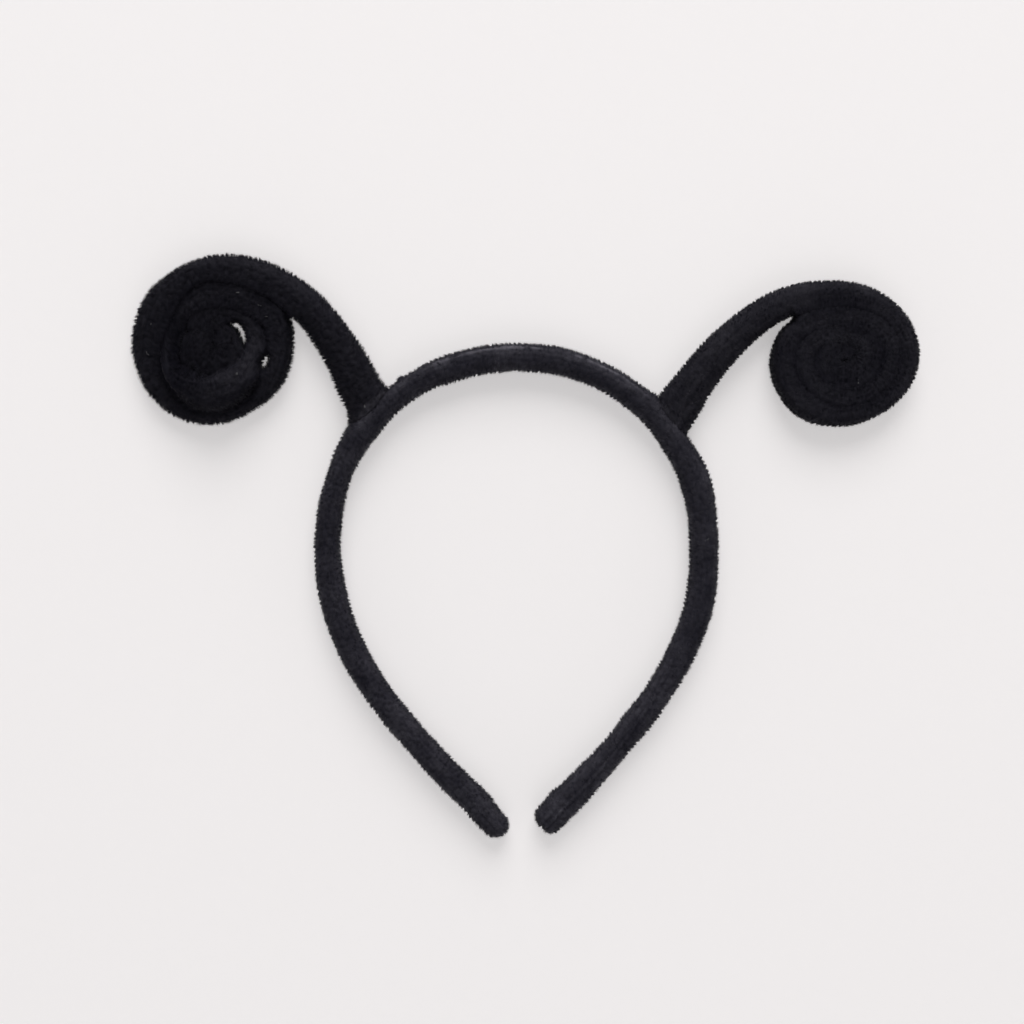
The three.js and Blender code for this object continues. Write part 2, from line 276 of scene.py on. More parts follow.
def unit(vectors):
    return vectors / np.maximum(np.linalg.norm(vectors, axis=-1, keepdims=True), 1e-12)


def ramp(values, start, stop):
    # 0 at start and 1 at stop
    return np.clip((values - start) / (stop - start), 0, 1)


def roundSection(around, side, radius):
    # distance round a section from the angle side
    return np.radians((around - side + 180) % 360 - 180) * radius


def runStations(piece):
    # even steps along the run: plan points, directions and section sizes
    rows = piece["rows"]
    fine = np.linspace(rows[0][0], rows[-1][0], skin["runSteps"])
    sizes = readRows(rows, fine)
    turn = np.radians(fine)
    plan = np.stack([piece["side"] * sizes[:, 0] * np.cos(turn), sizes[:, 0] * np.sin(turn)], -1)
    plan += np.array(piece["middle"])
    gone = np.concatenate([[0], np.cumsum(np.linalg.norm(np.diff(plan, axis=0), axis=1))])
    at = np.linspace(0, gone[-1], int(gone[-1] / skin["step"]) + 1)
    run = {"at": at, "angle": np.interp(at, gone, fine)}
    run["plan"] = np.stack([np.interp(at, gone, plan[:, j]) for j in (0, 1)], -1)
    for j, name in enumerate(("width", "depth", "lift"), 1):
        run[name] = np.interp(at, gone, sizes[:, j])
    run["along"] = unit(np.gradient(run["plan"], axis=0))
    run["across"] = np.stack([run["along"][:, 1], -run["along"][:, 0]], -1)
    run["middle"] = run["lift"] - skin["sink"] + run["depth"] / 2
    return run


press = {
    "reach": 1.5,  # widest gap that two turns of a coil close between them
    "coreReach": 4.8,
    "core": 9.5,  # radius round a coil's middle
    "coreFade": 2.0,  # inside that radius
    "coreOverlap": 0.3,  # more than elsewhere in the coil
    "corePower": 30.0,
    "squared": 0.4,  # spread from which a side is as square as it gets
    "apart": 7.0,  # along the run, before another pass counts as a neighbour
    "facing": -0.5,  # most that the cosine between two sides that meet can be
    "crossed": -0.6,  # gap of two sides that are through each other already
    "shared": -0.6,  # height that both passes need in common
    "tuck": 1.5,  # how far a low pass goes under a raised one
    "raised": 2.5,
    "easedFull": 0.375,  # share of an eased place's reach that has its whole spread
    "evenRings": 5,  # each way, for evening out the spread
    "evenWidth": 2.0,
}


def fromMiddle(piece, run):
    return np.linalg.norm(run["plan"] - np.array(piece["middle"]), axis=1)


def coreShare(piece, run):
    # 1 where the run is in the middle of its coil
    return ramp(fromMiddle(piece, run), press["core"], press["core"] - press["coreFade"])


def pressedSides(piece, run):
    # how far each side of a section spreads past the cloth's inset to meet the next turn
    at, half = run["at"], run["width"][:, None] / 2
    core = fromMiddle(piece, run) < press["core"]
    reach = np.where(core, press["coreReach"], press["reach"])
    overlap = piece["overlap"] + np.where(core, press["coreOverlap"], 0)
    low, high = run["middle"] - run["depth"] / 2, run["middle"] + run["depth"] / 2
    shared = np.minimum(high[:, None], high) - np.maximum(low[:, None], low)
    neighbour = (np.abs(at[:, None] - at) > press["apart"]) & (shared > press["shared"])
    sides = [(run["plan"] + run["across"] * way * half, run["across"] * way) for way in (1, -1)]
    rings = np.arange(-press["evenRings"], press["evenRings"] + 1)
    kernel = np.exp(-0.5 * (rings / press["evenWidth"]) ** 2)
    spread = []
    for way, (mine, face) in zip((1, -1), sides):
        gap = np.full(len(at), np.inf)
        above = np.zeros(len(at))
        for theirs, theirFace in sides:
            toward = theirs[None] - mine[:, None]
            ahead = (toward * face[:, None]).sum(-1)
            aside = np.abs(toward[..., 0] * face[:, None, 1] - toward[..., 1] * face[:, None, 0])
            meets = neighbour & (face @ theirFace.T < press["facing"])
            meets = meets & (aside < skin["step"]) & (ahead > press["crossed"])
            ahead = np.where(meets, ahead, np.inf)
            nearest = ahead.argmin(1)
            above = np.where(ahead.min(1) < gap, run["lift"][nearest] - run["lift"], above)
            gap = np.minimum(gap, ahead.min(1))
        grow = np.minimum(gap, reach) / 2 + piece["inset"] + overlap
        grow = np.where(gap < reach, grow + np.where(above > press["raised"], press["tuck"], 0), 0)
        for x, y, easedReach, easedSpread, which in piece["eased"]:
            if which in (0, way):
                away = np.linalg.norm(mine - np.array([x, y]), axis=1)
                share = ramp(away, easedReach, easedReach * press["easedFull"])
                grow = grow * (1 - share) + easedSpread * share
        padded = np.pad(grow, press["evenRings"], mode="edge")
        spread.append(np.convolve(padded, kernel / kernel.sum(), mode="valid"))
    return np.stack(spread, -1)


def outerForm(piece, run, inset, spread):
    # rings of the run's form, drawn in by the inset, with its rounded ends
    steps = skin["around"] // 4
    u, v = np.zeros((2, len(run["at"]), skin["around"]))
    pressedPower = (piece["pressedPower"] + press["corePower"] * coreShare(piece, run))[:, None]
    for quarter in range(4):  # even steps over each quarter of a section
        angle = (quarter + np.linspace(0, 1, skin["quarterSteps"])) * math.pi / 2
        side = spread[:, 0 if quarter in (0, 3) else 1][:, None]
        bend = 2 / (skin["power"] + pressedPower * ramp(side, 0, press["squared"]))
        halfWidth = run["width"][:, None] / 2 - inset + side
        halfDepth = run["depth"][:, None] / 2 - inset
        fineU = np.sign(np.cos(angle)) * np.abs(np.cos(angle)) ** bend * halfWidth
        fineV = np.sign(np.sin(angle)) * np.abs(np.sin(angle)) ** bend * halfDepth
        stepU = np.diff(fineU, prepend=fineU[:, :1])
        stepV = np.diff(fineV, prepend=fineV[:, :1])
        gone = np.cumsum(np.hypot(stepU, stepV), axis=1)
        part = slice(quarter * steps, (quarter + 1) * steps)
        for i in range(len(gone)):
            even = gone[i, -1] * np.arange(steps) / steps
            u[i, part] = np.interp(even, gone[i], fineU[i])
            v[i, part] = np.interp(even, gone[i], fineV[i])

    def ring(i, scale, shift):
        plan = run["plan"][i] + run["along"][i] * shift + np.outer(u[i] * scale, run["across"][i])
        return np.column_stack([plan, run["middle"][i] + v[i] * scale])

    rings = [ring(i, 1, 0) for i in range(len(run["at"]))]
    where = list(run["at"])
    poles = []
    for i, length, way in ((0, piece["startDome"], -1), (-1, piece["endDome"], 1)):
        reach = max(length - inset, 0)
        rises = np.linspace(0, math.pi / 2, skin["domeRings"] + 2)[1:-1] if length else []
        cap = [ring(i, math.cos(a) ** piece["domePower"], way * reach * math.sin(a)) for a in rises]
        far = [run["at"][i] + way * reach * math.sin(a) for a in rises]
        rings = cap[::-1] + rings if way < 0 else rings + cap
        where = far[::-1] + where if way < 0 else where + far
        poles.append(np.append(run["plan"][i] + run["along"][i] * way * reach, run["middle"][i]))
    grid = np.array(rings)
    grid[..., 2] = np.maximum(grid[..., 2], skin["floorGap"] if inset else 0)
    return grid, np.array(poles), np.array(where)


def gridNormals(grid):
    ahead = np.gradient(grid, axis=0)
    beside = np.roll(grid, -1, axis=1) - np.roll(grid, 1, axis=1)
    return unit(np.cross(ahead, beside)), unit(ahead)


def hoopDepth(points):
    # below 0 inside the hoop's cloth
    turn = np.degrees(np.arctan2(points[..., 1], points[..., 0]))
    sizes = readRows(headband["rows"], turn.ravel()).reshape(*turn.shape, 4)
    radius, halfWidth, halfDepth = sizes[..., 0], sizes[..., 1] / 2, sizes[..., 2] / 2
    aside = (np.hypot(points[..., 0], points[..., 1]) - radius) / (halfWidth - headband["inset"])
    up = (points[..., 2] - halfDepth + skin["sink"]) / (halfDepth - headband["inset"])
    return np.abs(aside) ** skin["power"] + np.abs(up) ** skin["power"] - 1


def footOnHoop(grid):
    # every line along the stalk starts where it comes out of the hoop
    rings = skin["footRings"]
    depth = hoopDepth(grid[:rings])
    number = np.arange(len(grid))
    seated = grid.copy()
    for k in range(grid.shape[1]):
        inside = np.nonzero(depth[:, k] < 0)[0]
        if not len(inside) or inside[-1] + 1 >= rings:
            continue
        last = inside[-1]
        start = last + depth[last, k] / (depth[last, k] - depth[last + 1, k])
        moved = np.where(number < rings, start + number * (1 - start / rings), number)
        for j in range(3):
            seated[:, k, j] = np.interp(moved, number, grid[:, k, j])
    return seated


def tuftField(piece, along, around, cells):
    # nearest tuft of the pile, in cells: how far it is, how far each way, and three numbers of its own
    rng = np.random.default_rng(piece["seed"] + seeds["tuft"])
    rows = int(along.max()) + 4
    spots = rng.uniform(*skin["tuftPlace"], (rows, cells, 2))
    traits = rng.random((rows, cells, 3))
    best = np.full(along.shape, np.inf)
    offset = np.zeros((*along.shape, 2))
    own = np.zeros((*along.shape, 3))
    for da in (-1, 0, 1):
        for db in (-1, 0, 1):
            i = np.floor(along).astype(int) + da
            k = np.floor(around).astype(int) + db
            spot = spots[i % rows, k % cells]
            away = np.stack([i + spot[..., 0] - along, k + spot[..., 1] - around], -1)
            far = np.hypot(away[..., 0], away[..., 1])
            near = far < best
            best = np.where(near, far, best)
            offset[near] = away[near]
            own[near] = traits[i % rows, k % cells][near]
    return best, offset, own


def seamHeight(piece, angle, around):
    if not piece["seam"]:
        return 0
    path = np.array(piece["seam"], float)
    stop = path[-1, 0]
    aside = roundSection(around, np.interp(angle, path[:, 0], path[:, 1]), skin["radius"])
    grooves = 0
    for way in (1, -1):
        grooves = grooves + np.exp(-((aside - way * skin["seamApart"] / 2) / skin["seamWidth"]) ** 2)
    return -skin["seamDepth"] * ramp(angle, stop, stop - skin["seamFade"]) * grooves


# tone of the pile and its cloth, as a share of the lit colour, with its painted shade and painted highlights
shading = {
    "rest": 0.253,
    "sideShade": 0.5,  # painted shade: tone of pile that faces sideways, against pile that faces up
    "upward": (0.05, 0.55),  # rise of the normal, from sideways to up
    "creaseSpread": 0.3,  # of a pressed side, for a full crease
    "creaseSide": (0.2, 0.7),  # how far out on a section a crease starts and is full
    "creaseFade": 3.0,  # outside the calm place
    # painted shade of a coil's middle fades out over this, past the calm place's rim
    "coreFade": 4.0,
    "grooveLoss": 1.4,  # tone lost for each mm of a seam's depth: the seam's dark join, with painted shade down its groove
    "grooveLeast": 0.3,
    "patchCell": 4.5,
    "stripEnd": 30,  # fade at each end of a painted strip
    "stripRadius": 4.6,  # of a section, out in the pile
    "stripNoise": [(4.0, 1.0), (1.7, 0.8)],  # cell and strength
    "stripBroad": 3.0,  # half width above which a painted strip is more even
    "stripLeast": 0.4,  # unevenness that is left then
    "stripRange": (0.15, 1.9),
    "lapEdge": 0.25,  # either way from the edge of the cloth that laps up a stalk
    "streak": (9.0, 0.8),  # length and width of the lines that the nap makes
    # painted shade under the pile: the cloth is darker than the pile, and darkest between tufts
    "cloth": 0.45,
    "clothTuft": 0.45,  # painted light added in the middle of a tuft, on its mound
    "clothStreak": 0.16,
    "clothRange": (0.02, 1),
    "clothPole": 0.12,
}


def pileShade(piece, form):
    grid, around, angle = form["grid"], form["around"], form["angle"]
    upward = ramp(form["normals"][..., 2], *shading["upward"])
    # painted shade in the creases where two turns meet
    shade = shading["rest"] * (1 - (1 - piece["creaseShade"]) * form["crease"])
    # painted shade on pile that faces sideways
    shade = shade * (shading["sideShade"] + (1 - shading["sideShade"]) * upward)
    # darker down a seam's grooves: the seam's dark join and painted shade in the groove
    shade = shade * np.clip(1 + shading["grooveLoss"] * form["groove"], shading["grooveLeast"], 1)
    shade = shade * (1 + piece["patches"] * pieceNoise(piece, grid, shading["patchCell"], "patch"))
    broken = np.zeros(grid.shape[:2])
    for n, (cell, strength) in enumerate(shading["stripNoise"]):
        broken += strength * pieceNoise(piece, grid, cell, "strip", n)
    # strips of painted highlight, and painted shade where the gain is below 0, broken up by noise
    for start, stop, side, reach, gain in piece["paintedLight"]:
        fade = ramp(np.minimum(angle - start, stop - angle), 0, shading["stripEnd"])
        uneven = np.clip(shading["stripBroad"] / reach, shading["stripLeast"], 1)
        fade = fade * np.clip(1 + broken * uneven, *shading["stripRange"])
        aside = roundSection(around, side, shading["stripRadius"])
        shade = shade * (1 + gain * fade * np.exp(-(aside / reach) ** 2))
    # painted shade in the coil's recessed middle
    shade = shade * (1 - (1 - piece["coreShade"]) * ramp(form["pastCalm"], shading["coreFade"], 0))
    if piece is not headband:
        lap, gain = piece["foot"]
        fromHoop = np.cumsum(np.linalg.norm(np.diff(grid, axis=0, prepend=grid[:1]), axis=-1), axis=0)
        pastLap = fromHoop - lap * np.sin(np.radians(around)) ** 2
        shade = shade * (1 + gain * ramp(pastLap, shading["lapEdge"], -shading["lapEdge"]))
    return shade


def skinForm(piece):
    # the cloth's rings, and what the pile on them needs
    run = runStations(piece)
    spread = np.zeros((len(run["at"]), 2)) if piece is headband else pressedSides(piece, run)
    grid, poles, where = outerForm(piece, run, piece["inset"], spread)
    if piece is not headband:
        grid = footOnHoop(grid)
        poles[0] = grid[0].mean(0)
    around = np.arange(skin["around"])[None] * 360 / skin["around"]
    sideways, upper = np.cos(np.radians(around)), np.sin(np.radians(around))
    angle = np.interp(where, run["at"], run["angle"])[:, None]
    calmX, calmY, calmRadius = piece["calm"]
    pastCalm = np.hypot(grid[..., 0] - calmX, grid[..., 1] - calmY) - calmRadius

    height = np.zeros(grid.shape[:2])
    for n, (cell, rise) in enumerate(skin["lumps"]):
        height += rise * pieceNoise(piece, grid, cell, "lumps", n)
    for dentAngle, side, rise, reach in piece["dents"]:
        along = where[:, None] - np.interp(dentAngle, run["angle"], run["at"])
        aside = roundSection(around, side, skin["radius"])
        height += rise * np.exp(-(along**2 + aside**2) / reach**2)
    groove = seamHeight(piece, angle, around)

    girth = float(np.linalg.norm(np.roll(grid, -1, axis=1) - grid, axis=-1).sum(1).mean())
    cells = round(girth / piece["tuft"])
    alongAll = np.repeat(where[:, None], skin["around"], 1)
    turnAll = np.repeat(around / 360, len(where), 0)
    far = tuftField(piece, (alongAll - where[0]) / piece["tuft"], turnAll * cells, cells)[0]
    tuft = 1 - ramp(far, 0, skin["tuftSpread"]) ** 2
    streakLength, streakWidth = shading["streak"]
    streakPlace = np.stack([alongAll / streakLength, turnAll * girth / streakWidth, 0 * alongAll], -1)

    rise = height + groove + skin["tuftRise"] * piece["tuftRise"] * (tuft - 0.5)
    shaped = grid + gridNormals(grid)[0] * rise[..., None]
    if piece["level"]:
        inCore = np.interp(where, run["at"], coreShare(piece, run))[:, None] * ramp(upper, *skin["levelCore"])
        inCalm = ramp(pastCalm, skin["levelEdge"], -skin["levelEdge"]) * ramp(upper, *skin["levelCalm"])
        shaped[..., 2] += np.maximum(inCore, inCalm) * (piece["level"] - grid[..., 2])
    shaped[..., 2] = np.maximum(shaped[..., 2], skin["floorGap"])

    held = [np.interp(where, run["at"], spread[:, way])[:, None] for way in (0, 1)]
    crease = ramp(np.where(sideways >= 0, held[0], held[1]), 0, shading["creaseSpread"])
    crease = crease * ramp(np.abs(sideways), *shading["creaseSide"])
    crease = crease * ramp(pastCalm, 0, shading["creaseFade"])
    normals, ahead = gridNormals(shaped)
    form = {"grid": grid, "shaped": shaped, "poles": poles, "normals": normals, "ahead": ahead,
            "where": where, "angle": angle, "around": around, "pastCalm": pastCalm,
            "cells": cells, "tuft": tuft, "groove": groove, "crease": crease}
    form["streak"] = pieceNoise(piece, streakPlace, 1.0, "streak")
    form["shade"] = pileShade(piece, form)
    return form


# where the crown's middle lies in the part's own frame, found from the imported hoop
plainRun = runStations(headband)
plainHoop = outerForm(headband, plainRun, 0.0, np.zeros((len(plainRun["at"]), 2)))[0]
lowCorner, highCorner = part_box("headband")
originShift = np.zeros(3)
for axis in (0, 1):
    originShift[axis] = (lowCorner[axis] + highCorner[axis]) / 2 / mm
    originShift[axis] -= (plainHoop[..., axis].min() + plainHoop[..., axis].max()) / 2
print("crown's middle in the part's frame, mm:", originShift.round(2))

camera = {
    "aim": (-1.37, 10.08, 5.0),
    "distance": 520.0,
    "pastUpright": 6.4,  # the view leans over the crown by this
    "lens": 60.3,
    "sensor": 36,
    "nearest": 10.0,
}


def placeCamera():
    lean = math.radians(camera["pastUpright"])
    back = Vector((0, math.sin(lean), math.cos(lean)))
    right = Vector((1, 0, 0))
    up = back.cross(right)
    aim = Vector(np.array(camera["aim"]) + originShift) * mm
    data = bpy.data.cameras.new("photoView")
    data.lens = camera["lens"]
    data.sensor_width = camera["sensor"]
    data.clip_start = camera["nearest"] * mm
    view = bpy.data.objects.new("photoView", data)
    turn = Matrix((right, up, back)).transposed().to_4x4()
    view.matrix_world = Matrix.Translation(aim + back * camera["distance"] * mm) @ turn
    bpy.context.scene.collection.objects.link(view)
    bpy.context.scene.camera = view


placeCamera()
print("camera placed")

velour = {
    "deep": (0.0093, 0.0089, 0.0172),
    "lit": (0.150, 0.1445, 0.173),
    "lint": (0.30, 0.30, 0.31),
    "roughness": (0.52, 0.66),
    "gloss": 0.09,
    "sheen": 0.07,
    "sheenRoughness": 0.4,
    "sheenTint": (0.80, 0.79, 0.90),
    "noises": {"patch": (70.0, 3), "clump": (420.0, 4), "hair": (2600.0, 2)},  # scale per metre, detail
    "clumpShare": 0.45,  # of the clumps against the patches
    "contrast": (0.3, 0.7),  # noise values that give the darkest and the lightest tone
    "tones": (0.7, 1.1),
    "bump": 0.4,
    "bumpHeight": 0.2,
}


def velourMaterial(name, tone):
    material = bpy.data.materials.new(name)
    material.use_nodes = True
    nodes, links = material.node_tree.nodes, material.node_tree.links
    shader = nodes["Principled BSDF"]
    place = nodes.new("ShaderNodeTexCoord")
    noises = {}
    for key, (scale, detail) in velour["noises"].items():
        noise = nodes.new("ShaderNodeTexNoise")
        noise.inputs["Scale"].default_value = scale
        noise.inputs["Detail"].default_value = detail
        links.new(place.outputs["Object"], noise.inputs["Vector"])
        noises[key] = noise.outputs["Fac"]
    blend = nodes.new("ShaderNodeMix")  # crushed patches and the pile's clumps
    blend.inputs["Factor"].default_value = velour["clumpShare"]
    links.new(noises["patch"], blend.inputs["A"])
    links.new(noises["clump"], blend.inputs["B"])
    spread = nodes.new("ShaderNodeMapRange")
    spread.inputs["From Min"].default_value, spread.inputs["From Max"].default_value = velour["contrast"]
    spread.inputs["To Min"].default_value, spread.inputs["To Max"].default_value = velour["tones"]
    links.new(blend.outputs["Result"], spread.inputs["Value"])
    traits = {}
    for key in ("pileTone", "lint"):
        traits[key] = nodes.new("ShaderNodeAttribute")
        traits[key].attribute_name = key
    # the pile's tone, with its painted shade and painted highlights, mixes the deep colour towards the lit
    # one
    level = nodes.new("ShaderNodeMath")
    level.operation = "MULTIPLY"
    links.new(spread.outputs["Result"], level.inputs[0])
    links.new(traits["pileTone"].outputs["Fac"], level.inputs[1])
    color = nodes.new("ShaderNodeMix")
    color.data_type = "RGBA"
    color.inputs["A"].default_value = (*[c * tone for c in velour["deep"]], 1)
    color.inputs["B"].default_value = (*[c * tone for c in velour["lit"]], 1)
    links.new(level.outputs["Value"], color.inputs["Factor"])
    specks = nodes.new("ShaderNodeMix")
    specks.data_type = "RGBA"
    specks.inputs["B"].default_value = (*velour["lint"], 1)
    links.new(traits["lint"].outputs["Fac"], specks.inputs["Factor"])
    links.new(color.outputs["Result"], specks.inputs["A"])
    links.new(specks.outputs["Result"], shader.inputs["Base Color"])
    rough = nodes.new("ShaderNodeMapRange")
    rough.inputs["To Min"].default_value, rough.inputs["To Max"].default_value = velour["roughness"]
    links.new(noises["clump"], rough.inputs["Value"])
    links.new(rough.outputs["Result"], shader.inputs["Roughness"])
    bump = nodes.new("ShaderNodeBump")
    bump.inputs["Strength"].default_value = velour["bump"]
    bump.inputs["Distance"].default_value = velour["bumpHeight"] * mm
    links.new(noises["hair"], bump.inputs["Height"])
    links.new(bump.outputs["Normal"], shader.inputs["Normal"])
    shader.inputs["Specular IOR Level"].default_value = velour["gloss"] * tone
    shader.inputs["Sheen Weight"].default_value = velour["sheen"] * tone
    shader.inputs["Sheen Roughness"].default_value = velour["sheenRoughness"]
    shader.inputs["Sheen Tint"].default_value = (*velour["sheenTint"], 1)
    return material


def meshObject(name, points, faces, faceSize, mapCorners, traits):
    # one map corner for each face corner, one value of each trait for each point
    mesh = bpy.data.meshes.new(name)
    mesh.vertices.add(len(points))
    mesh.vertices.foreach_set("co", ((points + originShift) * mm).ravel())
    mesh.loops.add(len(faces))
    mesh.loops.foreach_set("vertex_index", faces)
    mesh.polygons.add(len(faceSize))
    mesh.polygons.foreach_set("loop_start", np.concatenate([[0], np.cumsum(faceSize)[:-1]]))
    mesh.update(calc_edges=True)
    chartLayer = mesh.uv_layers.new(name="OFBake")
    chartLayer.data.foreach_set("uv", mapCorners.ravel())
    for trait, values in traits.items():
        mesh.attributes.new(trait, "FLOAT", "POINT").data.foreach_set("value", values)
    mesh.validate()
    piece = bpy.data.objects.new(name, mesh)
    bpy.context.scene.collection.objects.link(piece)
    return piece


# the flat map of a skin, in shares of its width
chart = {
    "rows": 4,  # that the unrolled skin is cut into
    "fill": 0.96,  # of a row
    "left": 0.01,
    "low": 0.02,  # in a row
    "poles": [(0.985, 0.15), (0.985, 0.85)],
    "poleRadius": 0.01,
    "strand": 0.0006,
}


def chartPlace(ring, turn, rings):
    # ring numbers and shares of a turn for the corners of each face
    share = rings / chart["rows"]
    row = np.minimum(np.floor(ring.min(-1, keepdims=True) / share), chart["rows"] - 1)
    across = (ring - row * share) / share * chart["fill"] + chart["left"]
    return np.stack([across, (row + turn * chart["fill"] + chart["low"]) / chart["rows"]], -1)


def skinMesh(piece, form):
    shaped = form["shaped"]
    rings, around = shaped.shape[:2]
    points = np.vstack([shaped.reshape(-1, 3), form["poles"]])
    i, k = (n.ravel() for n in np.meshgrid(np.arange(rings - 1), np.arange(around), indexing="ij"))
    beside = (k + 1) % around
    here, after = i * around, (i + 1) * around
    quads = np.stack([here + k, after + k, after + beside, here + beside], -1)
    quadTurn = np.stack([k, k, k + 1, k + 1], -1) / around
    quadMap = chartPlace(np.stack([i, i + 1, i + 1, i], -1), quadTurn, rings)
    rim = np.arange(around)
    nextRim = (rim + 1) % around
    first, last, lastRing = rings * around, rings * around + 1, (rings - 1) * around
    caps = np.vstack([np.stack([np.full(around, first), rim, nextRim], -1),
                      np.stack([np.full(around, last), lastRing + nextRim, lastRing + rim], -1)])
    turn = np.arange(around + 1) * 2 * math.pi / around
    spokes = np.stack([np.cos(turn), np.sin(turn)], -1) * chart["poleRadius"]
    disc = np.stack([0 * spokes[1:], spokes[:-1], spokes[1:]], 1)
    capMap = np.vstack([disc + np.array(pole) for pole in chart["poles"]])
    # painted shade on the cloth under the pile, lighter on each tuft's mound, with the nap's lines
    shade = shading["cloth"] + shading["clothTuft"] * form["tuft"] + shading["clothStreak"] * form["streak"]
    shade = np.clip(shade * form["shade"], *shading["clothRange"])
    traits = {"pileTone": np.append(shade.ravel(), [shading["clothPole"]] * 2), "lint": np.zeros(len(points))}
    faces = np.concatenate([quads.ravel(), caps.ravel()])
    faceSize = np.concatenate([np.full(len(quads), 4), np.full(len(caps), 3)])
    mapCorners = np.vstack([quadMap.reshape(-1, 2), capMap.reshape(-1, 2)])
    return meshObject(piece["node"] + "_velour", points, faces, faceSize, mapCorners, traits)


pile = {
    "length": (0.8, 1.15),  # shares of the tufts' rise
    "tuftLength": (0.75, 1.2),
    "width": (0.16, 0.28),
    "lean": (8.0, 52.0),  # from upright
    "root": 0.2,  # below the cloth
    "gather": 0.72,  # how far a strand's tip is drawn to its tuft's tip
    "gatherVaries": 0.12,
    "gatherMost": 0.95,
    "stray": 0.3,
    "askew": 0.01,  # so that a strand straight up has a side too
    "swirl": 1.1,  # turn of the nap, in radians
    "swirlCell": 9.0,
    "tuftSwirl": 0.9,
    "crushCell": 7.0,
    "creaseThin": 0.4,  # strands missing in a full crease
    "creaseLift": 1.5,  # turns the normals up there
    "roundness": 0.4,  # of a strand's normals
    "rootShade": 0.6,  # painted shade at a strand's root, against the tip
    "ownTone": (0.9, 1.1),
    "floorGap": 0.03,
    "lintStrands": 3,  # at each place
    "lintTone": 0.8,
    "lintUpper": 0.4,  # how much a higher tip counts as nearer
}


